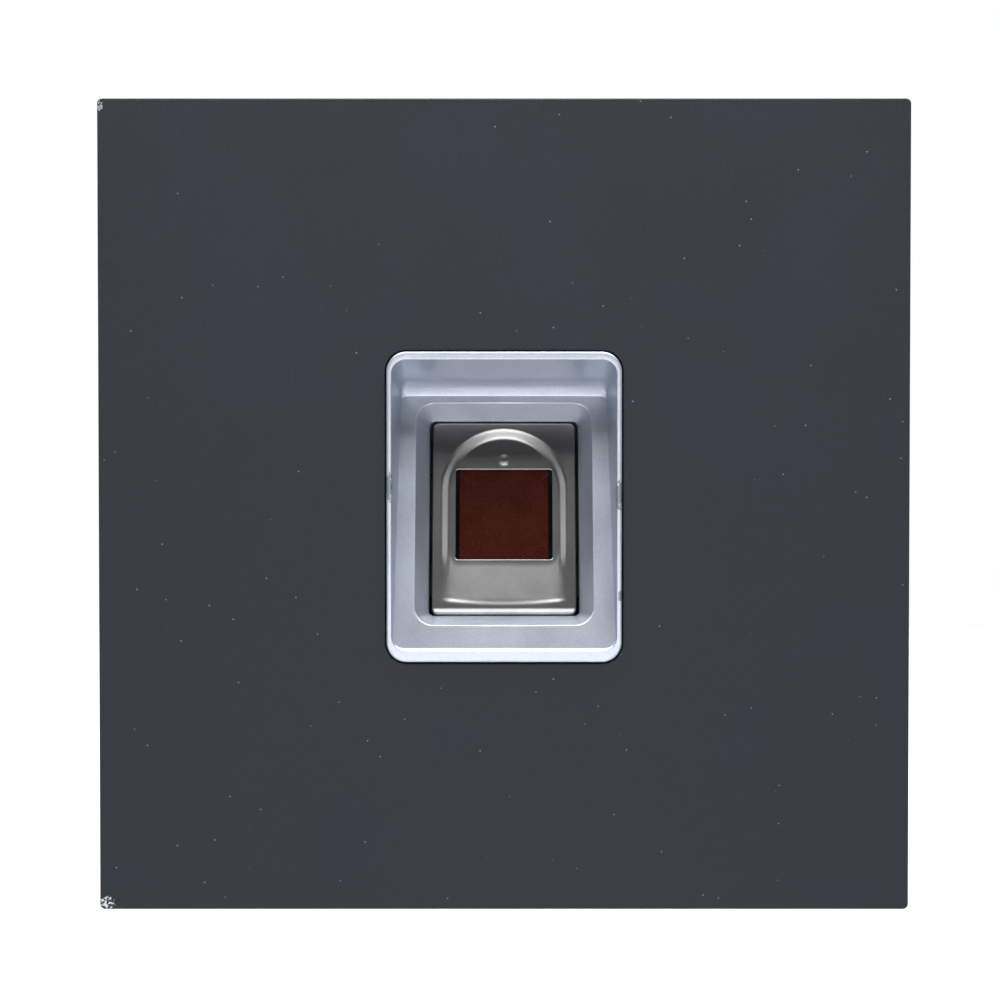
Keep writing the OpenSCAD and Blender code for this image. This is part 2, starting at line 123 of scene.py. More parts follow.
def buildSurface(name, look):
    material = bpy.data.materials.new(name)
    material.use_nodes = True
    tree = material.node_tree
    shader = tree.nodes["Principled BSDF"]
    speckled = look.get("speckle", 0.05)
    place = addNode(tree, "ShaderNodeTexCoord")["Object"]
    along = addNode(tree, "ShaderNodeMapping", {
        "Vector": place, "Scale": look.get("stretch", (1.0, 1.0, 1.0))})["Vector"]
    cloud = addNode(tree, "ShaderNodeTexNoise", {
        "Vector": place, "Scale": 1 / (look["cloud"] * mm), "Detail": 3.0, "Roughness": 0.6})[0]
    grain = addNode(tree, "ShaderNodeTexNoise", {
        "Vector": along, "Scale": 1 / (look["grain"] * mm), "Detail": 2.0, "Roughness": 0.55})[0]
    shade = addNode(tree, "ShaderNodeMapRange", {"Value": cloud, "From Min": 0.3, "From Max": 0.7})[0]
    tint = addNode(tree, "ShaderNodeMix", {
        0: shade, 6: srgb(look["colours"][0]), 7: srgb(look["colours"][1])}, data_type="RGBA")[2]
    speckle = addNode(tree, "ShaderNodeMapRange", {
        "Value": grain, "From Min": 0.25, "From Max": 0.75,
        "To Min": 1 - speckled, "To Max": 1 + speckled})[0]
    colour = addNode(tree, "ShaderNodeVectorMath", {0: tint, "Scale": speckle}, operation="SCALE")[0]
    both = addNode(tree, "ShaderNodeMath", {0: cloud, 1: grain}, operation="ADD")[0]
    rough = addNode(tree, "ShaderNodeMapRange", {
        "Value": both, "From Min": 0.7, "From Max": 1.3,
        "To Min": look["roughness"][0], "To Max": look["roughness"][1]})[0]
    tree.links.new(colour, shader.inputs["Base Color"])
    tree.links.new(rough, shader.inputs["Roughness"])
    if look["relief"] > 0:
        wave = addNode(tree, "ShaderNodeBump", {
            "Height": cloud, "Distance": look.get("wave", 0.01) * mm, "Strength": 1.0})[0]
        relief = addNode(tree, "ShaderNodeBump", {
            "Height": grain, "Distance": look["relief"] * mm, "Strength": 1.0, "Normal": wave})[0]
        tree.links.new(relief, shader.inputs["Normal"])
    for socket, value in look.get("shader", {}).items():
        shader.inputs[socket].default_value = value
    return material, {"tree": tree, "shader": shader, "place": place, "colour": colour, "rough": rough}


# Colours as sRGB hex; cloud, grain, relief and wave in mm; speckle as a share of the colour
looks = {
    # Polyester powder coat on aluminium: matt, with a fine cured texture that breaks up the light
    "panel_paint": ("powderCoatedAluminium", {
        "colours": ("#1e2329", "#21262e"), "cloud": 24.0, "grain": 0.42, "speckle": 0.20,
        "roughness": (0.56, 0.68), "relief": 0.018, "wave": 0.03,
        "shader": {"IOR": 1.5, "Specular IOR Level": 0.3}}),
    # Aluminium-flake lacquer on moulded ABS: a bright satin body with a faint sparkle
    "silver_plastic": ("silverLacqueredAbs", {
        "colours": ("#b4bac6", "#bec4d0"), "cloud": 9.0, "grain": 0.20, "speckle": 0.10,
        "roughness": (0.39, 0.45), "relief": 0.004, "wave": 0.012,
        "shader": {"Metallic": 0.92, "IOR": 1.5}}),
    # Closed-cell foam rubber: dull black, open pores drawn at 0.3 mm so that they show
    "black_rubber": ("foamRubber", {
        "colours": ("#17181a", "#1f2022"), "cloud": 3.0, "grain": 0.3, "speckle": 0.25,
        "roughness": (0.80, 0.95), "relief": 0.05, "shader": {"IOR": 1.45}}),
    # Zinc-plated steel: bright and slightly mottled where the plating crystallised
    "plated_steel": ("zincPlatedSteel", {
        "colours": ("#b4b6bb", "#c9cbcf"), "cloud": 1.4, "grain": 0.2, "speckle": 0.05,
        "roughness": (0.22, 0.36), "relief": 0.006, "shader": {"Metallic": 1.0}}),
    # Stamped stainless steel with a satin finish: grey, soft reflections drawn out across the plate
    "satin_stainless": ("satinStainless", {
        "colours": ("#a09fa0", "#abaaaa"), "cloud": 6.0, "grain": 0.22, "speckle": 0.05,
        "stretch": (0.5, 1.0, 1.0), "roughness": (0.28, 0.295), "relief": 0.0, "wave": 0.0,
        "shader": {"Metallic": 1.0}}),
    # Coated optical glass over a red-lit prism: near black with a deep red-brown body
    "platen_red": ("darkRedPlatenGlass", {
        "colours": ("#36120b", "#3b140c"), "cloud": 5.0, "grain": 0.2, "speckle": 0.22,
        "roughness": (0.22, 0.34), "relief": 0.0, "wave": 0.0,
        "shader": {"IOR": 1.52, "Specular IOR Level": 0.15}}),
    # Screen-printed black film: smooth, a little glossier than the glass beside it
    "black_film": ("blackMaskFilm", {
        "colours": ("#060607", "#0a0a0c"), "cloud": 2.0, "grain": 0.3, "speckle": 0.08,
        "roughness": (0.25, 0.38), "relief": 0.002, "shader": {"IOR": 1.5, "Specular IOR Level": 0.05}}),
    # Polished crown glass with the platen's red cast
    "prism_glass": ("prismGlass", {
        "colours": ("#b8605a", "#c26a62"), "cloud": 8.0, "grain": 1.5, "speckle": 0.01,
        "roughness": (0.03, 0.07), "relief": 0.0005, "shader": {"Transmission Weight": 0.8, "IOR": 1.52}}),
    # Carbon-filled ABS, flat black inside an optical box, spark-eroded so that nothing glints
    "black_plastic": ("opticalBlackAbs", {
        "colours": ("#141517", "#191a1c"), "cloud": 5.0, "grain": 0.25, "speckle": 0.12,
        "roughness": (0.68, 0.82), "relief": 0.02, "shader": {"IOR": 1.5}}),
    # Coated camera lens: clear with a cool edge
    "lens_glass": ("lensGlass", {
        "colours": ("#d6e2e8", "#dfe9ee"), "cloud": 4.0, "grain": 1.0, "speckle": 0.01,
        "roughness": (0.01, 0.04), "relief": 0.0003, "shader": {"Transmission Weight": 0.9, "IOR": 1.58}}),
    # Transfer-moulded epoxy: dark grey, ground to a fine matt skin
    "chip_black": ("epoxyChip", {
        "colours": ("#232427", "#2a2b2e"), "cloud": 3.0, "grain": 0.18, "speckle": 0.14,
        "roughness": (0.50, 0.66), "relief": 0.01, "shader": {"IOR": 1.55}}),
    # Green solder mask over copper: satin, with the copper's edges showing as soft waves
    "board_green": ("greenSolderMask", {
        "colours": ("#1a5535", "#22663f"), "cloud": 4.0, "grain": 0.6, "speckle": 0.08,
        "roughness": (0.30, 0.42), "relief": 0.01, "wave": 0.03, "shader": {"IOR": 1.52}}),
    # Water-clear red epoxy of a moulded LED
    "led_red": ("redLedEpoxy", {
        "colours": ("#b81d12", "#cf2a1c"), "cloud": 1.5, "grain": 0.4, "speckle": 0.04,
        "roughness": (0.12, 0.22), "relief": 0.002, "shader": {"Transmission Weight": 0.4, "IOR": 1.54}}),
    # Polyester film over flat tinned conductors
    "cable_film": ("flatCableFilm", {
        "colours": ("#c9bd98", "#d6caa6"), "cloud": 6.0, "grain": 0.5, "speckle": 0.12,
        "stretch": (1.0, 0.05, 0.05), "roughness": (0.25, 0.36), "relief": 0.02, "shader": {"IOR": 1.57}}),
    # Glass-filled nylon: warm white, with the flow of the moulding in it
    "ivory_plastic": ("ivoryNylon", {
        "colours": ("#d8d0bb", "#e2dbc8"), "cloud": 4.0, "grain": 0.3, "speckle": 0.05,
        "roughness": (0.42, 0.56), "relief": 0.008, "shader": {"IOR": 1.53, "Subsurface Weight": 0.05}}),
    # Drawn and tinned steel can
    "can_steel": ("tinnedCan", {
        "colours": ("#b9babd", "#c6c7c9"), "cloud": 2.0, "grain": 0.15, "speckle": 0.04,
        "stretch": (1.0, 1.0, 0.1), "roughness": (0.20, 0.32), "relief": 0.003, "shader": {"Metallic": 1.0}}),
    # Sintered ferrite: dark grey ceramic with a sugar-like grain
    "ferrite": ("sinteredFerrite", {
        "colours": ("#303135", "#3a3b3f"), "cloud": 2.0, "grain": 0.2, "speckle": 0.2,
        "roughness": (0.55, 0.75), "relief": 0.02, "shader": {"IOR": 1.6}}),
    # Sleeve-less aluminium capacitor can, satin from drawing
    "can_aluminium": ("aluminiumCan", {
        "colours": ("#c4c5c9", "#d0d1d4"), "cloud": 3.0, "grain": 0.14, "speckle": 0.04,
        "stretch": (1.0, 0.1, 1.0), "roughness": (0.25, 0.38), "relief": 0.004, "shader": {"Metallic": 1.0}}),
    # Free-cutting brass, turned: yellow, with fine tool rings
    "contact_brass": ("turnedBrass", {
        "colours": ("#c59a4a", "#d3aa58"), "cloud": 2.0, "grain": 0.12, "speckle": 0.06,
        "stretch": (1.0, 4.0, 1.0), "roughness": (0.22, 0.36), "relief": 0.005, "shader": {"Metallic": 1.0}}),
    # Natural acetal: waxy white, slightly see-through at its edges
    "white_plastic": ("whiteAcetal", {
        "colours": ("#dedcd4", "#e6e4dd"), "cloud": 4.0, "grain": 0.25, "speckle": 0.03,
        "roughness": (0.30, 0.42), "relief": 0.006, "shader": {"IOR": 1.48, "Subsurface Weight": 0.1}}),
    # Cold-drawn spring wire, with the die's lines along it
    "spring_steel": ("drawnSpringWire", {
        "colours": ("#9a9ca1", "#a9abb0"), "cloud": 1.0, "grain": 0.06, "speckle": 0.05,
        "roughness": (0.22, 0.34), "relief": 0.002, "shader": {"Metallic": 1.0}}),
    # Black ABS with the fine spark-eroded texture of a moulded back housing
    "housing_plastic": ("texturedBlackAbs", {
        "colours": ("#26282b", "#2c2e32"), "cloud": 18.0, "grain": 0.45, "speckle": 0.12,
        "roughness": (0.52, 0.66), "relief": 0.035, "wave": 0.03, "shader": {"IOR": 1.5}}),
}
materials = {}
surfaceParts = {}
for slotName, (materialName, look) in looks.items():
    materials[slotName], surfaceParts[slotName] = buildSurface(materialName, look)
print("finishes built:", len(materials))

# Wear (mm): crumbled paint at two corners of the panel, dust specks all over it, scuffs on the bezel's rim.
# A spot is its middle across and up, then half its width and half its height.
wear = {
    "chips": [(-55.55, 55.0, 0.45, 0.8), (-54.9, -55.1, 1.1, 1.0)],
    "chipRagged": 0.5,
    "chipGrain": 0.5,
    "flakeGrain": 0.30,
    "scuffs": [(-15.9, 2.4, 0.5, 2.0), (15.9, 1.4, 0.5, 2.3), (16.0, -12.5, 0.3, 1.0)],
    "scuffRagged": 1.1,
    "scuffGrain": 0.45,
    "speckGrain": 2.6,
    "speckSize": 0.045,     # as a share of a cell
    "bareColour": "#c3c7cc",
    "bareRoughness": 0.42,
    "scuffColour": "#7b828e",
    "dustColour": "#7c828a",
}


def spotMask(parts, spots, ragged, grain):
    # 1 inside any spot, with a torn outline; the depth is left out so that a spot runs over an edge
    tree, place = parts["tree"], parts["place"]
    noise = addNode(tree, "ShaderNodeTexNoise", {
        "Vector": place, "Scale": 1 / (grain * mm), "Detail": 3.0})[0]
    torn = addNode(tree, "ShaderNodeMath", {
        0: noise, 1: ragged * 2, 2: -ragged}, operation="MULTIPLY_ADD")[0]
    total = 0.0
    for x, z, wide, high in spots:
        shifted = addNode(tree, "ShaderNodeVectorMath", {
            0: place, 1: (x * mm, 0.0, z * mm)}, operation="SUBTRACT")[0]
        scaled = addNode(tree, "ShaderNodeVectorMath", {
            0: shifted, 1: (1 / (wide * mm), 0.0, 1 / (high * mm))}, operation="MULTIPLY")[0]
        reach = addNode(tree, "ShaderNodeVectorMath", {0: scaled}, operation="LENGTH")["Value"]
        edge = addNode(tree, "ShaderNodeMath", {0: reach, 1: torn}, operation="ADD")[0]
        spot = addNode(tree, "ShaderNodeMapRange", {"Value": edge, "From Min": 0.95, "From Max": 0.80})[0]
        total = addNode(tree, "ShaderNodeMath", {0: total, 1: spot}, operation="MAXIMUM")[0]
    return total


def wearPanel():
    parts, w = surfaceParts["panel_paint"], wear
    tree, place, shader = parts["tree"], parts["place"], parts["shader"]
    spots = spotMask(parts, w["chips"], w["chipRagged"], w["chipGrain"])
    flakes = addNode(tree, "ShaderNodeTexNoise", {
        "Vector": place, "Scale": 1 / (w["flakeGrain"] * mm)})[0]
    flaked = addNode(tree, "ShaderNodeMapRange", {
        "Value": flakes, "From Min": 0.50, "From Max": 0.58})[0]
    chips = addNode(tree, "ShaderNodeMath", {0: spots, 1: flaked}, operation="MULTIPLY")[0]
    cells = addNode(tree, "ShaderNodeTexVoronoi", {
        "Vector": place, "Scale": 1 / (w["speckGrain"] * mm)})["Distance"]
    speck = addNode(tree, "ShaderNodeMapRange", {
        "Value": cells, "From Min": w["speckSize"], "From Max": w["speckSize"] * 0.5})[0]
    dusty = addNode(tree, "ShaderNodeMix", {
        0: speck, 6: parts["colour"], 7: srgb(w["dustColour"])}, data_type="RGBA")[2]
    bare = addNode(tree, "ShaderNodeMix", {
        0: chips, 6: dusty, 7: srgb(w["bareColour"])}, data_type="RGBA")[2]
    rough = addNode(tree, "ShaderNodeMix", {0: chips, 2: parts["rough"], 3: w["bareRoughness"]})[0]
    tree.links.new(bare, shader.inputs["Base Color"])
    tree.links.new(rough, shader.inputs["Roughness"])
    tree.links.new(chips, shader.inputs["Metallic"])


def wearBezel():
    parts, w = surfaceParts["silver_plastic"], wear
    scuffs = spotMask(parts, w["scuffs"], w["scuffRagged"], w["scuffGrain"])
    dull = addNode(parts["tree"], "ShaderNodeMix", {
        0: scuffs, 6: parts["colour"], 7: srgb(w["scuffColour"])}, data_type="RGBA")[2]
    parts["tree"].links.new(dull, parts["shader"].inputs["Base Color"])


wearPanel()
wearBezel()


# Mesh helpers

def addObject(name, data):
    made = bpy.data.objects.new(name, data)
    bpy.context.scene.collection.objects.link(made)
    return made


def makePiece(name, points, faces):
    mesh = bpy.data.meshes.new(name)
    mesh.from_pydata((np.asarray(points) * mm).tolist(), [], faces)
    shape = bmesh.new()
    shape.from_mesh(mesh)
    bmesh.ops.recalc_face_normals(shape, faces=shape.faces)
    for face in shape.faces:
        face.smooth = True
    shape.to_mesh(mesh)
    shape.free()
    piece = addObject(name, mesh)
    return piece


def joinShapes(name, shapes):
    points, faces, start = [], [], 0
    for shapePoints, shapeFaces in shapes:
        points.extend(np.asarray(shapePoints).tolist())
        faces.extend([tuple(k + start for k in face) for face in shapeFaces])
        start += len(shapePoints)
    return makePiece(name, points, faces)


def outline(half, low, high, rLow, rHigh, counts=(10, 8, 10)):
    # A rounded rectangle about the middle line: points (across, up), anticlockwise from the low right corner
    corner, across, along = counts
    arcs = [(half - rLow, low + rLow, rLow, -90), (half - rHigh, high - rHigh, rHigh, 0),
            (rHigh - half, high - rHigh, rHigh, 90), (rLow - half, low + rLow, rLow, 180)]
    points = []
    for k, (x, z, r, start) in enumerate(arcs):
        for j in range(corner + 1):
            angle = math.radians(start + 90 * j / corner)
            points.append((x + r * math.cos(angle), z + r * math.sin(angle)))
        nextX, nextZ, nextR, nextStart = arcs[(k + 1) % 4]
        angle = math.radians(nextStart)
        goal = np.array((nextX + nextR * math.cos(angle), nextZ + nextR * math.sin(angle)))
        begin = np.array(points[-1])
        steps = along if k % 2 == 0 else across
        for j in range(1, steps):
            points.append(tuple(begin + (goal - begin) * j / steps))
    return np.array(points)


def ringFaces(loopCount, size, closed=True):
    faces = []
    for a in range(loopCount if closed else loopCount - 1):
        b = (a + 1) % loopCount
        for i in range(size):
            j = (i + 1) % size
            faces.append((a * size + i, a * size + j, b * size + j, b * size + i))
    return faces


def softCorners(keys):
    # keys are (loop, trim, steps): each loop's edge is eased by a short curve that starts trim mm before it
    loops = []
    for k, (here, trim, steps) in enumerate(keys):
        if steps == 0:
            loops.append(here)
            continue
        before = keys[k - 1][0] - here
        after = keys[(k + 1) % len(keys)][0] - here
        ends = []
        for side in (before, after):
            length = np.linalg.norm(side, axis=1, keepdims=True)
            ends.append(here + side / np.maximum(length, 1e-6) * np.minimum(trim, 0.45 * length))
        for t in np.linspace(0, 1, steps + 1):
            loops.append((1 - t) ** 2 * ends[0] + 2 * t * (1 - t) * here + t * t * ends[1])
    return loops


def turnedShape(rows, stations=48, ring=False):
    # A turned form round the Y axis; a row is (radius or a function of the angle, y), and radius 0 is a pole
    points, faces, rings = [], [], []
    angles = [2 * math.pi * k / stations for k in range(stations)]
    for radius, y in rows:
        if not callable(radius) and radius == 0:
            rings.append([len(points)])
            points.append((0.0, y, 0.0))
            continue
        rings.append(list(range(len(points), len(points) + stations)))
        for angle in angles:
            r = radius(angle) if callable(radius) else radius
            points.append((r * math.cos(angle), y, r * math.sin(angle)))
    pairs = list(zip(rings, rings[1:] + rings[:1])) if ring else list(zip(rings, rings[1:]))
    for first, second in pairs:
        for i in range(stations):
            j = (i + 1) % stations
            corners = [loop[k % len(loop)] for loop, k in ((first, i), (first, j), (second, j), (second, i))]
            face = tuple(dict.fromkeys(corners))
            if len(face) > 2:
                faces.append(face)
    return points, faces


def addEasing(piece, width=None, segments=2, angle=35.0):
    # A small radius on the hard edges, and normals that keep the flats flat
    if width:
        bevel = piece.modifiers.new("easedEdges", "BEVEL")
        bevel.width = width * mm
        bevel.segments = segments
        bevel.limit_method = "ANGLE"
        bevel.angle_limit = math.radians(angle)
        bevel.use_clamp_overlap = True
    flats = piece.modifiers.new("flatsStayFlat", "WEIGHTED_NORMAL")
    flats.keep_sharp = True
    flats.weight = 80


def settle(piece, *nodes, material=None):
    # Gives a piece its finish and its body, and hides the CAD nodes that it stands for
    slotName = nodeSlot[nodes[0]]
    if material or not piece.data.materials:
        piece.data.materials.clear()
        piece.data.materials.append(material or materials[slotName])
    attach(piece, nodeBody[nodes[0]])
    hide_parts(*nodes)
    return piece


# Camera: square on, a little above the middle
view = {"lens": 79.3, "sensor": 36.0, "distance": 304.0, "raise": 1.3, "aimX": -0.57, "aimZ": 0.74}


def placeCamera():
    data = bpy.data.cameras.new("camera")
    data.lens = view["lens"]
    data.sensor_width = view["sensor"]
    data.clip_start = 0.01
    data.clip_end = 20.0
    camera = addObject("camera", data)
    aim = Vector((view["aimX"], panelFront, view["aimZ"])) * mm
    lift = math.radians(view["raise"])
    back = Vector((0, -math.cos(lift), math.sin(lift)))
    camera.location = aim + back * view["distance"] * mm
    camera.rotation_euler = (-back).to_track_quat("-Z", "Y").to_euler()
    bpy.context.scene.camera = camera


placeCamera()

# Soft studio light (m, W): boxes overhead, in front and at the sides, and two washes on the floor
studio = {
    "floorDrop": 0.280,
    "floorSize": 8.0,
    "fill": 0.02,
    "paper": {"colours": ("#aeaeae", "#b4b4b4"), "cloud": 60.0, "grain": 1.2, "speckle": 0.01,
              "roughness": (0.85, 0.95), "relief": 0.01},
    "boxes": {
        "overhead": {"place": (0.0, -0.035, 0.31), "size": (0.46, 0.12), "power": 2.8},
        "canopy": {"place": (0.0, -0.35, 0.57), "size": (0.8, 0.27), "power": 5.0},
        "front": {"place": (0.0, -0.62, -0.11), "size": (0.36, 0.34), "power": 1.1},
        "left": {"place": (-0.60, -0.25, 0.10), "size": (0.28, 0.6), "power": 0.7},
        "right": {"place": (0.60, -0.25, 0.10), "size": (0.28, 0.6), "power": 0.7},
        "back": {"place": (0.0, 2.7, 1.4), "size": (3.6, 3.8), "power": 235.0, "aim": (0.0, 2.7, -1.0)},
        "far": {"place": (0.0, -2.9, 1.4), "size": (6.0, 2.6), "power": 105.0, "aim": (0.0, -2.9, -1.0),
                "floorOnly": True},
    },
}


def lightStudio():
    scene = bpy.context.scene
    white = (1.0, 1.0, 1.0, 1.0)
    scene.view_settings.view_transform = "Standard"
    world = bpy.data.worlds.new("studio")
    scene.world = world
    world.use_nodes = True
    # A white backdrop that the camera sees, and only a dim fill from it on the object
    tree = world.node_tree
    fill = tree.nodes["Background"]
    fill.inputs["Color"].default_value = white
    fill.inputs["Strength"].default_value = studio["fill"]
    backdrop = addNode(tree, "ShaderNodeBackground", {"Color": white})[0]
    sight = addNode(tree, "ShaderNodeLightPath")["Is Camera Ray"]
    either = addNode(tree, "ShaderNodeMixShader", {0: sight, 1: fill.outputs[0], 2: backdrop})[0]
    tree.links.new(either, tree.nodes["World Output"].inputs["Surface"])
    target = Vector((0, panelFront * mm, 0))
    floorOnly = bpy.data.collections.new("floorOnly")
    for name, box in studio["boxes"].items():
        data = bpy.data.lights.new(name, "AREA")
        data.shape = "RECTANGLE"
        data.size, data.size_y = box["size"]
        data.energy = box["power"]
        lamp = addObject(name, data)
        lamp.location = box["place"]
        aim = Vector(box.get("aim", target))
        if box.get("floorOnly"):
            lamp.light_linking.receiver_collection = floorOnly
        lamp.rotation_euler = (aim - lamp.location).to_track_quat("-Z", "Y").to_euler()
    drop = cadLow.z - studio["floorDrop"]
    half = studio["floorSize"] / 2
    mesh = bpy.data.meshes.new("floor")
    mesh.from_pydata([(-half, -half, drop), (half, -half, drop), (half, half, drop), (-half, half, drop)],
                     [], [(0, 1, 2, 3)])
    floor = addObject("floor", mesh)
    # Matt white paper: near white, with the faintest tooth
    paper = buildSurface("paleFloorPaper", studio["paper"])[0]
    mesh.materials.append(paper)
    floorOnly.objects.link(floor)


lightStudio()
print("camera and studio ready")


# Front panel: a square plate with eased edges, its opening, and the screw bosses on its back (mm)
panel = {
    "thick": 3.0,
    "cornerRadius": 0.7,
    "frontEdge": 0.30,
    "openingHalf": 16.45,
    "openingMiddle": -0.25,
    "openingHigh": 21.65,
    "openingRadius": 2.95,
    "openingEdge": 0.18,
    "bossRadius": 4.0,
    "bossLength": 7.0,
    "bossPitch": 43.0,
    "bossBore": 1.25,
}


def makeFrontPanel():
    half = panelHigh[0]
    counts = (10, 24, 24)
    outer = outline(half, panelLow[2], panelHigh[2], panel["cornerRadius"], panel["cornerRadius"], counts)
    middle, high = panel["openingMiddle"], panel["openingHigh"]
    inner = outline(panel["openingHalf"], middle - high, middle + high, panel["openingRadius"],
                    panel["openingRadius"], counts)
    back = panelFront + panel["thick"]

    def at(shape, y):
        return np.column_stack((shape[:, 0], np.full(len(shape), y), shape[:, 1]))

    keys = [(at(inner, back), 0.1, 2), (at(inner, panelFront), panel["openingEdge"], 4),
            (at(inner * 0.4 + outer * 0.6, panelFront), 0, 0), (at(outer, panelFront), panel["frontEdge"], 5),
            (at(outer, back), 0.12, 2)]
    loops = softCorners(keys)
    shapes = [(np.concatenate(loops), ringFaces(len(loops), len(inner)))]
    bossRows = [(panel["bossRadius"], back - 0.2), (panel["bossRadius"], back + panel["bossLength"] - 0.3),
                (panel["bossRadius"] - 0.3, back + panel["bossLength"]),
                (panel["bossBore"] + 0.25, back + panel["bossLength"]),
                (panel["bossBore"], back + panel["bossLength"] - 0.25), (panel["bossBore"], back - 0.2)]
    bossPoints, bossFaces = turnedShape(bossRows, 32, ring=True)
    for x in (-1, 1):
        for z in (-1, 1):
            moved = np.array(bossPoints) + np.array((x * panel["bossPitch"], 0, z * panel["bossPitch"]))
            shapes.append((moved, bossFaces))
    piece = joinShapes("frontPanel", shapes)
    addEasing(piece)
    return settle(piece, "front_panel")


makeFrontPanel()
print("front panel made")


# Finger bezel: rim, drafted recess, cove, slope and the tapered seat of the sensor, as one closed shell (mm)
bezel = {
    "rimHalf": 16.25, "rimHigh": 21.45, "rimMiddle": -0.25, "rimRadius": 2.75, "rimEdge": 0.38,
    "mouthHalf": 15.55, "mouthHigh": 20.1, "mouthRadius": 2.0, "mouthEdge": 0.16,
    "sideDraft": 5.5,
    "topFoot": (17.5, 8.0),         # height and depth where the top wall meets the cove
    "footRadius": 1.4,
    "crease": 15.3,                 # height of the crease under the cove
    "creaseRadius": 0.9,
    "coveBulge": 0.40,              # 0 is a flat band, 1 is a full quarter round
    "sideFillet": 0.40,
    "seatHalf": 12.5, "seatLong": 16.05, "seatRadius": 2.75, "seatDepth": 3.1, "seatTaper": 1.9,
    "openingRadius": 0.8,
    "coveStart": 13.6,              # height where the sides' fillet turns into the cove
    "coveReach": 2.6, "coveLean": 18.0,
    "coveSteps": 17,
    "shellDeep": 4.9,
    "shellHalf": 12.6, "shellUp": (4.2, 36.2), "shellRadius": 2.4,
    "stepHalf": 16.0, "stepUp": (-17.3, 20.0),
    "flangeFront": 4.0, "flangeBack": 6.5,
    "flangeHalf": 25.0, "flangeHigh": 28.0, "flangeRadius": 3.0,
    "earRadius": 2.2, "earBore": 0.8, "earAcross": 13.2, "earUp": (11.0, 29.0), "earDeep": (3.3, 5.4),
    "earSeat": 7.0,                 # depth of the sensor screws' heads, measured on the slope
}


def slopeDepth(z):
    return slope["lip"] + (z - slope["foot"]) * slopeSin / slopeCos


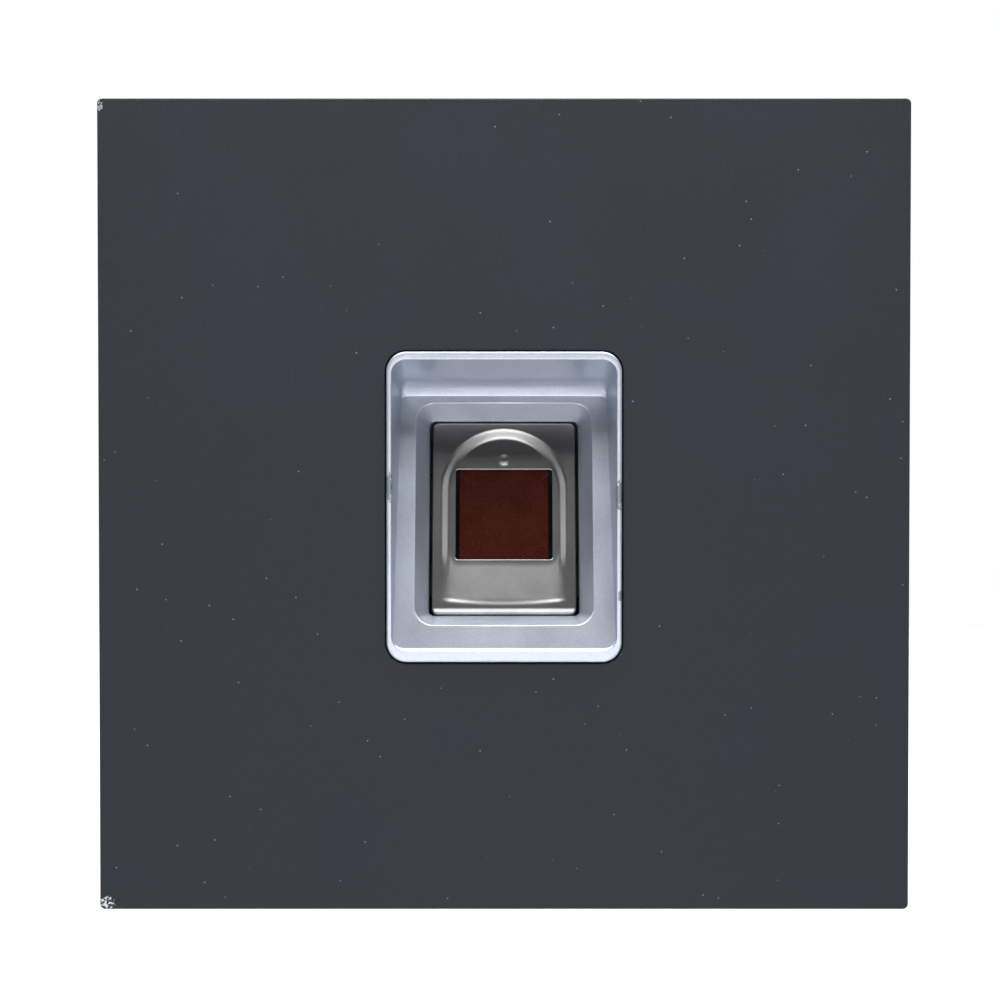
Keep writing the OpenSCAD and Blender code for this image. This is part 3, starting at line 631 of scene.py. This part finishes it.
def makeFingerBezel():
    b = bezel
    counts = (14, 22, 26)

    def flat(shape, depth):
        return np.column_stack((shape[:, 0], np.broadcast_to(panelFront + depth, len(shape)), shape[:, 1]))

    rimLift = rimFront - panelFront
    middle = b["rimMiddle"]
    rim = outline(b["rimHalf"], middle - b["rimHigh"], middle + b["rimHigh"], b["rimRadius"],
                  b["rimRadius"], counts)
    mouth = outline(b["mouthHalf"], -b["mouthHigh"], b["mouthHigh"], b["mouthRadius"],
                    b["mouthRadius"], counts)
    draft = math.tan(math.radians(b["sideDraft"]))

    def drafted(low, high, rLow, rHigh, depthAt):
        shape = outline(b["mouthHalf"], low, high, rLow, rHigh, counts)
        depth = depthAt(shape[:, 1])
        shape[:, 0] *= (b["mouthHalf"] - (depth + 0.3) * draft) / b["mouthHalf"]
        return np.column_stack((shape[:, 0], panelFront + depth, shape[:, 1]))

    topZ, topDepth = b["topFoot"]
    low = slope["foot"]

    def footDepth(z):
        # Just above the slope at the sides, and up to the cove's start at the top
        side = slopeDepth(z) - b["sideFillet"]
        turn = np.clip((z - b["coveStart"]) / (topZ - b["coveStart"]), 0, 1)
        return side * (1 - turn) + topDepth * turn

    foot = drafted(low - 0.02, topZ, 1.7, b["footRadius"], footDepth)
    crease = drafted(low + 0.30, b["crease"], 1.5, b["creaseRadius"], slopeDepth)
    # The cove: a curve from the wall's foot to the crease, pulled towards the corner that the two planes make
    onTop = np.clip((foot[:, 2] - b["coveStart"]) / (topZ - b["coveStart"]), 0, 1)[:, None]
    wallDown = foot + b["coveReach"] * np.array((0, 1, -math.tan(math.radians(b["coveLean"]))))
    cornerTop = np.column_stack((foot[:, 0], wallDown[:, 1], wallDown[:, 2]))
    corner = (foot * np.array((1, 0, 1)) + crease * np.array((0, 1, 0))) * (1 - onTop) + cornerTop * onTop
    pull = b["coveBulge"]
    control = (foot + crease) / 2 * (1 - pull) + corner * pull
    coveLoops = [((1 - t) ** 2 * foot + 2 * t * (1 - t) * control + t * t * crease, 0, 0)
                 for t in np.linspace(0, 1, b["coveSteps"])]
    coveLoops[-1] = (crease, 0.07, 2)

    seatMiddle = slope["middle"]
    seat = outline(b["seatHalf"], seatMiddle - b["seatLong"], seatMiddle + b["seatLong"], b["seatRadius"],
                   b["seatRadius"], counts)
    taper = b["seatTaper"]
    inside = b["seatLong"] - taper
    opening = outline(b["seatHalf"] - taper, seatMiddle - inside, seatMiddle + inside,
                      b["openingRadius"], b["openingRadius"], counts)
    shell = outline(b["shellHalf"], *b["shellUp"], b["shellRadius"], b["shellRadius"], counts)
    step = outline(b["stepHalf"], *b["stepUp"], b["shellRadius"], b["shellRadius"], counts)
    flange = outline(b["flangeHalf"], middle - b["flangeHigh"], middle + b["flangeHigh"], b["flangeRadius"],
                     b["flangeRadius"], counts)
    keys = [
        (flat(rim, b["flangeFront"]), 0.1, 1),
        (flat(rim, rimLift), b["rimEdge"], 6),
        (flat(mouth, rimLift), b["mouthEdge"], 4),
    ]
    keys += coveLoops
    keys += [
        (sloped(seat, 0.0), 0.16, 4),
        (sloped(opening, b["seatDepth"]), 0.05, 2),
        (sloped(opening, b["shellDeep"]), 0.1, 1),
        (sloped(shell, b["shellDeep"]), 0.3, 3),
        (flat(step, b["flangeBack"]), 0.3, 3),
        (flat(flange, b["flangeBack"]), 0.3, 3),
        (flat(flange, b["flangeFront"]), 0.3, 3),
    ]
    loops = softCorners(keys)
    shapes = [(np.concatenate(loops), ringFaces(len(loops), len(rim)))]
    ear, bore, (earLow, earHigh) = b["earRadius"], b["earBore"], b["earDeep"]
    rows = [(ear, earLow), (ear, earHigh - 0.2), (ear - 0.2, earHigh), (bore + 0.2, earHigh),
            (bore, earHigh - 0.2), (bore, earLow)]
    earPoints, earFaces = turnedShape(rows, 32, ring=True)
    earPoints = np.array(earPoints)
    for x in (-b["earAcross"], b["earAcross"]):
        for up in b["earUp"]:
            shapes.append((onSlope(earPoints[:, 0] + x, earPoints[:, 2] + up, earPoints[:, 1]), earFaces))
    piece = joinShapes("fingerBezel", shapes)
    addEasing(piece)
    return settle(piece, "finger_bezel")


makeFingerBezel()
print("finger bezel made")


# Guide plate: one stamped sheet; its pocket, ramp, dimple and rolled edge are a depth over the plate (mm)
guide = {
    "half": 10.15, "long": 14.0, "radius": 0.9, "front": 3.1, "sheet": 0.4, "edge": 0.30,
    "windowHalf": 6.98, "windowLong": 6.66, "windowMiddle": 20.3, "windowRadius": 0.4, "windowEdge": 0.10,
    "pocketDepth": 0.70, "pocketHalf": 8.95, "pocketStep": 1.15, "archMiddle": 23.65,
    "rampStart": 13.2, "rampEnd": 7.4, "rampLow": 0.06,
    "dimpleUp": 28.25, "dimpleRadius": 0.95, "dimpleDepth": 0.11,
    "spreadFrom": 6.4, "spreadOver": 1.5, "spreadRise": 1.6,    # the ramp starts higher near the flanks
    "smileHalf": 8.6, "smileEnds": 7.75, "smileDip": 0.55, "smileRise": 0.55,
    "rollStart": 6.75, "rollRadius": 1.6,
}


def softRamp(t, ease):
    low = (t + ease) ** 2 / (4 * ease)
    high = 1 - (1 + ease - t) ** 2 / (4 * ease)
    result = np.where(t < -ease, 0, np.where(t < ease, low, np.where(t < 1 - ease, t, high)))
    return np.where(t > 1 + ease, 1, result)


def guideDepth(shape):
    g = guide
    across, up = shape[:, 0], shape[:, 1]
    reach = np.where(up > g["archMiddle"], np.hypot(across, up - g["archMiddle"]), np.abs(across))
    side = softRamp((g["pocketHalf"] - reach) / g["pocketStep"], 0.28)
    spread = np.clip((np.abs(across) - g["spreadFrom"]) / g["spreadOver"], 0, 1) ** 2
    start = g["rampStart"] + g["spreadRise"] * spread
    ramp = softRamp((up - g["rampEnd"]) / (start - g["rampEnd"]), 0.10)
    floor = g["rampLow"] + (g["pocketDepth"] - g["rampLow"]) * ramp
    # The pocket's low end: a short wall that bows downwards in the middle, then the plate rolls over
    bow = np.clip(1 - (across / g["smileHalf"]) ** 2, 0, 1)
    smile = g["smileEnds"] - g["smileDip"] * bow
    depth = floor * side * softRamp((up - smile) / g["smileRise"] + 0.5, 0.3)
    depth = depth + np.clip(g["rollStart"] - up, 0, None) ** 2 / (2 * g["rollRadius"])
    away = np.hypot(across, up - g["dimpleUp"]) / g["dimpleRadius"]
    depth = depth + g["dimpleDepth"] * np.clip(1 - away ** 2, 0, 1) ** 1.5
    return depth


def makeGuidePlate():
    g = guide
    counts = (12, 96, 120)
    low, high = slope["middle"] - g["long"], slope["middle"] + g["long"]
    windowLow, windowHigh = g["windowMiddle"] - g["windowLong"], g["windowMiddle"] + g["windowLong"]
    window = outline(g["windowHalf"], windowLow, windowHigh, g["windowRadius"], g["windowRadius"], counts)

    def inset(amount):
        radius = max(g["radius"] - amount, 0.3)
        return outline(g["half"] - amount, low + amount, high - amount, radius, radius, counts)

    loops = []
    edge = g["edge"]
    for share in (0.0, 0.06, 0.16, 0.32, 0.55, 0.8):
        amount = edge * share
        drop = edge - math.sqrt(max(edge ** 2 - (edge - amount) ** 2, 0.0))
        shape = inset(amount)
        deep = guideDepth(shape)
        loops.append(sloped(shape, g["front"] + drop + deep))
    first = inset(edge)
    for t in np.linspace(0, 1, 54):
        shape = first * (1 - t) + window * t
        deep = guideDepth(shape)
        loops.append(sloped(shape, g["front"] + deep))
    # The window's cut edge, a little rounded over
    deep = g["front"] + guideDepth(window)
    ease = g["windowEdge"]
    centre = np.array((0.0, g["windowMiddle"]))
    grow = (window - centre) / np.abs(window - centre).max(axis=1, keepdims=True)
    for share in (0.3, 0.65, 1.0):
        inward = ease * math.sin(share * math.pi / 2)
        sunk = ease * (1 - math.cos(share * math.pi / 2))
        shape = window - grow * inward
        loops.append(sloped(shape, deep + sunk))
    shape = window - grow * ease
    loops.append(sloped(shape, deep + g["sheet"]))
    for t in np.linspace(1, 0, 16)[1:]:
        shape = first * (1 - t) + (window - grow * ease) * t
        under = guideDepth(shape)
        loops.append(sloped(shape, g["front"] + g["sheet"] + under))
    outer = inset(0.0)
    under = guideDepth(outer)
    loops.append(sloped(outer, g["front"] + g["sheet"] + under))
    piece = makePiece("guidePlate", np.concatenate(loops), ringFaces(len(loops), len(window)))
    piece.data.set_sharp_from_angle(angle=math.radians(50))
    return settle(piece, "guide_plate")


makeGuidePlate()
print("guide plate made")


# Platen: the coated glass behind the window, and the two black film strips at its sides (mm)
platen = {
    "half": 7.35, "long": 6.9, "front": 4.21, "thick": 0.88, "radius": 0.3, "edge": 0.08,
    "maskWidth": 0.66, "maskLong": 6.62, "maskThick": 0.05,
}


def slabLoops(shape, near, far, edge):
    # A closed slab between two depths on the slope, its two faces closed on their middles
    centre = shape.mean(axis=0)
    keys = []
    for deep, side in ((near, 1), (far, -1)):
        rings = [onSlope(shape[:, 0] * (1 - k) + centre[0] * k, shape[:, 1] * (1 - k) + centre[1] * k, deep)
                 for k in (0.0, 0.5, 0.98)]
        keys.append(rings if side < 0 else rings[::-1])
    loops = keys[0] + keys[1]
    return softCorners([(loop, edge, 2 if k in (2, 3) else 0) for k, loop in enumerate(loops)])


def closeEnds(piece):
    shape = bmesh.new()
    shape.from_mesh(piece.data)
    bmesh.ops.holes_fill(shape, edges=[edge for edge in shape.edges if edge.is_boundary], sides=0)
    bmesh.ops.recalc_face_normals(shape, faces=shape.faces)
    for face in shape.faces:
        face.smooth = True
    shape.to_mesh(piece.data)
    shape.free()
    piece.data.set_sharp_from_angle(angle=math.radians(40))


def makePlaten():
    p, middle = platen, guide["windowMiddle"]
    glass = outline(p["half"], middle - p["long"], middle + p["long"], p["radius"], p["radius"], (6, 4, 4))
    loops = slabLoops(glass, p["front"], p["front"] + p["thick"], p["edge"])
    piece = makePiece("platenGlass", np.concatenate(loops), ringFaces(len(loops), len(glass), closed=False))
    closeEnds(piece)
    addEasing(piece)
    settle(piece, "platen_glass")
    strip = outline(p["maskWidth"] / 2, middle - p["maskLong"], middle + p["maskLong"], 0.06, 0.06, (3, 3, 8))
    shapes = []
    for side in (-1, 1):
        moved = strip + np.array((side * (guide["windowHalf"] - p["maskWidth"] / 2 - 0.02), 0))
        loops = slabLoops(moved, p["front"] - p["maskThick"], p["front"] - 0.005, 0.01)
        shapes.append((np.concatenate(loops), ringFaces(len(loops), len(moved), closed=False)))
    piece = joinShapes("platenMask", shapes)
    closeEnds(piece)
    return settle(piece, "platen_mask")


makePlaten()
print("platen made")


# What repeats: one prototype set out on a grid by Geometry Nodes, then turned and placed as a whole

def startTree(name, sockets):
    tree = bpy.data.node_groups.new(name, "GeometryNodeTree")
    for label, kind in sockets:
        tree.interface.new_socket(name=label, in_out="INPUT", socket_type="NodeSocket" + kind)
    tree.interface.new_socket(name="Geometry", in_out="OUTPUT", socket_type="NodeSocketGeometry")
    return tree, addNode(tree, "NodeGroupInput")


def finishTree(tree, geometry, finish):
    real = addNode(tree, "GeometryNodeRealizeInstances", {"Geometry": geometry})[0]
    done = addNode(tree, "GeometryNodeSetMaterial", {"Geometry": real, "Material": finish})[0]
    addNode(tree, "NodeGroupOutput", {0: done})
    return tree


def buildGridTree():
    tree, given = startTree("setOutOnGrid", [
        ("Prototype", "Object"), ("Finish", "Material"), ("Spacing Across", "Float"), ("Spacing Up", "Float"),
        ("Columns", "Int"), ("Rows", "Int"), ("Turn", "Rotation"), ("Place", "Vector")])
    extents = []
    for spacing, count in (("Spacing Across", "Columns"), ("Spacing Up", "Rows")):
        gaps = addNode(tree, "ShaderNodeMath", {0: given[count], 1: 1.0}, operation="SUBTRACT")[0]
        extents.append(addNode(tree, "ShaderNodeMath", {
            0: given[spacing], 1: gaps}, operation="MULTIPLY")[0])
    grid = addNode(tree, "GeometryNodeMeshGrid", {
        "Size X": extents[0], "Size Y": extents[1],
        "Vertices X": given["Columns"], "Vertices Y": given["Rows"]})["Mesh"]
    upright = addNode(tree, "GeometryNodeTransform", {
        "Geometry": grid, "Rotation": (math.pi / 2, 0, 0)})[0]
    shape = addNode(tree, "GeometryNodeObjectInfo", {
        "Object": given["Prototype"], "As Instance": True})["Geometry"]
    placed = addNode(tree, "GeometryNodeInstanceOnPoints", {"Points": upright, "Instance": shape})[0]
    turned = addNode(tree, "GeometryNodeTransform", {
        "Geometry": placed, "Rotation": given["Turn"], "Translation": given["Place"]})[0]
    return finishTree(tree, turned, given["Finish"])


gridTree = buildGridTree()


def setInputs(modifier, values):
    for item in modifier.node_group.interface.items_tree:
        if item.item_type == "SOCKET" and item.in_out == "INPUT" and item.name in values:
            modifier[item.identifier] = values[item.name]


def bake(name, tree, values):
    # The evaluated result of a tree as a plain mesh object
    host = addObject(name + "Host", bpy.data.meshes.new(name + "Host"))
    modifier = host.modifiers.new("nodes", "NODES")
    modifier.node_group = tree
    setInputs(modifier, values)
    bpy.context.view_layer.update()
    mesh = bpy.data.meshes.new_from_object(host.evaluated_get(bpy.context.evaluated_depsgraph_get()))
    host.modifiers.clear()
    bpy.data.objects.remove(host)
    mesh.name = name
    piece = addObject(name, mesh)
    return piece


def setOut(name, node, shape, spacing, counts, place, turn=(0.0, 0.0, 0.0)):
    prototype = makePiece(name + "Prototype", *shape)
    prototype.data.set_sharp_from_angle(angle=math.radians(35))
    piece = bake(name, gridTree, {
        "Prototype": prototype, "Finish": materials[nodeSlot[node]],
        "Spacing Across": spacing[0] * mm, "Spacing Up": spacing[1] * mm,
        "Columns": counts[0], "Rows": counts[1], "Turn": turn, "Place": [c * mm for c in place]})
    bpy.data.objects.remove(prototype)
    return piece


# Screws: pan head with a cross recess, rolled thread drawn as rings of its pitch (mm)
screws = {
    "bezel": {"head": 2.35, "high": 1.6, "shank": 1.0, "length": 6.0, "pitch": 0.45},
    "sensor": {"head": 2.35, "high": 1.6, "shank": 0.8, "length": 4.0, "pitch": 0.40},
    "board": {"head": 2.35, "high": 1.6, "shank": 1.0, "length": 6.0, "pitch": 0.45},
    "housing": {"head": 2.8, "high": 2.0, "shank": 1.23, "length": 8.0, "pitch": 0.50},
}


def screwShape(size, stations=72):
    # Its head stands towards +Y from 0, its shank goes towards -Y
    head, high, shank, length = size["head"], size["high"], size["shank"], size["length"]
    arm, slot = head * 0.58, head * 0.15

    def cross(scale):
        def radius(angle):
            c, s = abs(math.cos(angle)), abs(math.sin(angle))
            return scale * max(min(arm, slot / max(s, 1e-6)), min(arm, slot / max(c, 1e-6)))
        return radius

    rows = [(0, -length), (shank * 0.55, -length), (shank * 0.86, -length + 0.4)]
    y = -length + 0.4
    while y < -size["pitch"]:
        y += size["pitch"] / 2
        rows.append((shank * (1.0 if len(rows) % 2 else 0.86), y))
    rows += [(shank, -0.02), (head * 0.94, 0.0), (head, head * 0.05), (head, high * 0.48)]
    for k in range(1, 7):
        turn = math.pi / 2 * k / 6
        rows.append((head * (0.72 + 0.28 * math.cos(turn)), high * (0.48 + 0.50 * math.sin(turn))))
    rows += [(cross(1.06), high), (cross(1.0), high * 0.96), (cross(0.8), high * 0.42), (0, high * 0.36)]
    return turnedShape(rows, stations)


def cadMiddles(node):
    low, high = millimetreBox(node)
    return (low + high) / 2


def makeScrews():
    for kind, turn in (("bezel", 0.0), ("board", math.pi), ("housing", 0.0)):
        node, size = kind + "_screws", screws[kind]
        low, high = millimetreBox(node)
        spacing = (high - low)[[0, 2]] - 2 * size["head"]
        # The heads stand towards the back, except on the board, where they stand towards the front
        seat = low[1] + size["high"] if turn else high[1] - size["high"]
        piece = setOut(kind + "Screws", node, screwShape(size), spacing, (2, 2),
                       (0, seat, cadMiddles(node)[2]), (turn, 0.0, 0.0))
        settle(piece, node)
    b = bezel
    place = onSlope(0.0, sum(b["earUp"]) / 2, b["earSeat"])
    piece = setOut("sensorScrews", "sensor_screws", screwShape(screws["sensor"]),
                   (2 * b["earAcross"], b["earUp"][1] - b["earUp"][0]), (2, 2), place,
                   (-math.radians(slope["tilt"]), 0.0, 0.0))
    settle(piece, "sensor_screws")


makeScrews()
print("screws set out")


# Threaded brass inserts with knurled bands, set out at the frame's four holes (mm)
insert = {"radius": 2.3, "length": 5.5, "bore": 1.25, "ridges": 24, "ridge": 0.10, "chamfer": 0.35}


def makeInserts():
    n = insert

    def knurl(angle):
        return n["radius"] - n["ridge"] * abs(math.sin(angle * n["ridges"] / 2))

    inner, outer = n["bore"], n["radius"]
    rows = [(inner + n["chamfer"], 0.0), (outer - 0.15, 0.0), (outer, -0.15), (outer, -0.6), (knurl, -0.7),
            (knurl, -2.4), (outer - 0.35, -2.6), (outer - 0.35, -3.2), (knurl, -3.4), (knurl, -4.9),
            (outer - 0.25, -5.2), (outer - 0.25, -n["length"]), (inner + 0.2, -n["length"])]
    y = -n["length"] + 0.2
    while y < -n["chamfer"] - 0.25:
        rows.append((inner + (0.14 if len(rows) % 2 else 0.0), y))
        y += 0.25
    rows.append((inner, -n["chamfer"]))
    low, high = millimetreBox("frame_inserts")
    half = (high - low)[[0, 2]] / 2 - outer
    shape = turnedShape(rows, 96, ring=True)
    piece = setOut("frameInserts", "frame_inserts", shape, half * 2, (2, 2), (0, 0, 0))
    settle(piece, "frame_inserts")


# Socket pins: square brass with a pointed tip, five to a socket (mm)
pins = {"half": 0.30, "taper": 0.12, "tip": 0.5, "pitch": 2.0, "count": 5}


def makePins():
    low, high = millimetreBox("socket_pins")
    h, t = pins["half"], pins["half"] - pins["taper"]
    depth = high[1] - low[1]
    rings = [(h * 0.7, -depth), (h, -depth + 0.15), (h, -pins["tip"]), (t, -0.06), (t * 0.7, 0.0)]
    points = [(x * r, y, z * r) for r, y in rings for x, z in ((-1, -1), (1, -1), (1, 1), (-1, 1))]
    faces = ringFaces(len(rings), 4, closed=False) + [(0, 1, 2, 3), (16, 17, 18, 19)]
    middles = [cadMiddles(node) for node in ("bus_in_socket", "bus_out_socket")]
    span = abs(middles[1][0] - middles[0][0])
    z = (low[2] + high[2]) / 2
    row = [setOut("socketPins" + str(k), "socket_pins", (points, faces), (pins["pitch"], 0),
                  (pins["count"], 1), (side * span / 2, high[1], z)) for k, side in enumerate((-1, 1))]
    joined = bmesh.new()
    for piece in row:
        joined.from_mesh(piece.data)
    mesh = bpy.data.meshes.new("socketPins")
    joined.to_mesh(mesh)
    joined.free()
    for piece in row:
        bpy.data.objects.remove(piece)
    mesh.materials.append(materials["contact_brass"])
    piece = addObject("socketPins", mesh)
    settle(piece, "socket_pins")


makeInserts()
makePins()
print("inserts and pins set out")


# Tamper plunger: turned acetal with a collar and a domed end; its return spring is swept along a spiral (mm)
plunger = {
    "nose": 1.2, "collar": 3.6, "collarDeep": (-5.2, -4.2),
    "shaft": 2.5, "chamfer": 0.6, "groove": 0.12,
}
spring = {
    "radius": 2.1, "wire": 0.16, "turns": 2.5,
    "keep": 0.32,       # its length at full press, as a share
}


def makePlunger():
    low, high = millimetreBox("tamper_plunger")
    x, z = cadMiddles("tamper_plunger")[[0, 2]]
    p = plunger
    nose, collar, shaft, groove = p["nose"], p["collar"], p["shaft"], p["shaft"] - p["groove"]
    inner, outer = p["collarDeep"]
    front, shoulder = low[1], high[1] - p["chamfer"]
    rows = [(0, front), (nose * 0.6, front), (nose * 0.92, front + 0.18), (nose, front + 0.5),
            (nose, inner - 0.05), (nose + 0.1, inner), (collar - 0.2, inner), (collar, inner + 0.2),
            (collar, outer - 0.2), (collar - 0.2, outer), (shaft + 0.12, outer), (shaft, outer + 0.15),
            (shaft, -0.5), (shaft, shoulder - 0.55), (groove, shoulder - 0.45), (groove, shoulder - 0.15),
            (shaft, shoulder - 0.05)]
    for k in range(7):
        turn = math.pi / 2 * k / 6
        rows.append((shaft - p["chamfer"] * (1 - math.cos(turn)), shoulder + p["chamfer"] * math.sin(turn)))
    rows += [(0.62, high[1]), (0.5, high[1] - 0.15), (0, high[1] - 0.18)]
    points, faces = turnedShape(rows, 64)
    piece = makePiece("tamperPlunger", np.array(points) + np.array((x, 0, z)), faces)
    piece.data.set_sharp_from_angle(angle=math.radians(32))
    settle(piece, "tamper_plunger")


def buildSpringTree():
    tree, given = startTree("coilSpring", [
        ("Finish", "Material"), ("Coil Radius", "Float"), ("Wire Radius", "Float"), ("Turns", "Float"),
        ("Length", "Float"), ("Place", "Vector")])
    spiral = addNode(tree, "GeometryNodeCurveSpiral", {
        "Resolution": 48, "Rotations": given["Turns"], "Start Radius": given["Coil Radius"],
        "End Radius": given["Coil Radius"], "Height": given["Length"]})[0]
    circle = addNode(tree, "GeometryNodeCurvePrimitiveCircle", {
        "Resolution": 12, "Radius": given["Wire Radius"]})[0]
    coil = addNode(tree, "GeometryNodeCurveToMesh", {
        "Curve": spiral, "Profile Curve": circle, "Fill Caps": True})[0]
    placed = addNode(tree, "GeometryNodeTransform", {
        "Geometry": coil, "Rotation": (-math.pi / 2, 0, 0), "Translation": given["Place"]})[0]
    return finishTree(tree, placed, given["Finish"])


def makeSpring():
    low, high = millimetreBox("tamper_spring")
    x, z = cadMiddles("tamper_spring")[[0, 2]]
    wire = spring["wire"]
    piece = bake("tamperSpring", buildSpringTree(), {
        "Finish": materials[nodeSlot["tamper_spring"]], "Coil Radius": spring["radius"] * mm,
        "Wire Radius": wire * mm, "Turns": spring["turns"], "Length": (high[1] - low[1] - 2.4 * wire) * mm,
        "Place": [x * mm, (low[1] + 1.2 * wire) * mm, z * mm]})
    for face in piece.data.polygons:
        face.use_smooth = True
    settle(piece, "tamper_spring")
    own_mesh(piece)


makePlunger()
makeSpring()
print("tamper plunger and spring made")


# CAD shapes that are right as they stand: a merged copy with eased edges, in mm of radius
easedNodes = {
    "platen_seal": 0.05, "prism": 0.08, "sensor_housing": 0.12,
    "lens_barrel": 0.10, "lens": 0.0, "image_sensor": 0.05, "sensor_board": 0.06, "led_board": 0.06,
    "platen_leds": 0.08, "sensor_cable": 0.03, "cable_connector": 0.12, "main_board": 0.08, "processor": 0.10,
    "flash_memory": 0.08, "bus_transceiver": 0.08, "clock_crystal": 0.25, "power_inductor": 0.35,
    "filter_capacitors": 0.25, "bus_in_socket": 0.12, "bus_out_socket": 0.12, "tamper_switch": 0.12,
    "bezel_gasket": 0.10, "housing_seal": 0.15, "rear_housing": 0.35,
}


def easedCopy(node, width):
    words = node.split("_")
    name = words[0] + "".join(word.capitalize() for word in words[1:])
    mesh = frame["nodes"][node].data.copy()
    mesh.name = name
    mesh.materials.clear()
    if "custom_normal" in mesh.attributes:
        mesh.attributes.remove(mesh.attributes["custom_normal"])
    shape = bmesh.new()
    shape.from_mesh(mesh)
    bmesh.ops.remove_doubles(shape, verts=shape.verts, dist=0.002 * mm)
    bmesh.ops.dissolve_limit(shape, angle_limit=math.radians(0.5), verts=shape.verts, edges=shape.edges)
    for face in shape.faces:
        face.smooth = True
    shape.to_mesh(mesh)
    shape.free()
    mesh.set_sharp_from_angle(angle=math.radians(35))
    piece = addObject(name, mesh)
    addEasing(piece, width)
    return settle(piece, node)


for nodeName, easeWidth in easedNodes.items():
    easedCopy(nodeName, easeWidth)
print("eased copies made:", len(easedNodes))

for nodeName, cadObject in frame["nodes"].items():
    cadObject.data.materials.clear()
    cadObject.data.materials.append(materials[nodeSlot[nodeName]])
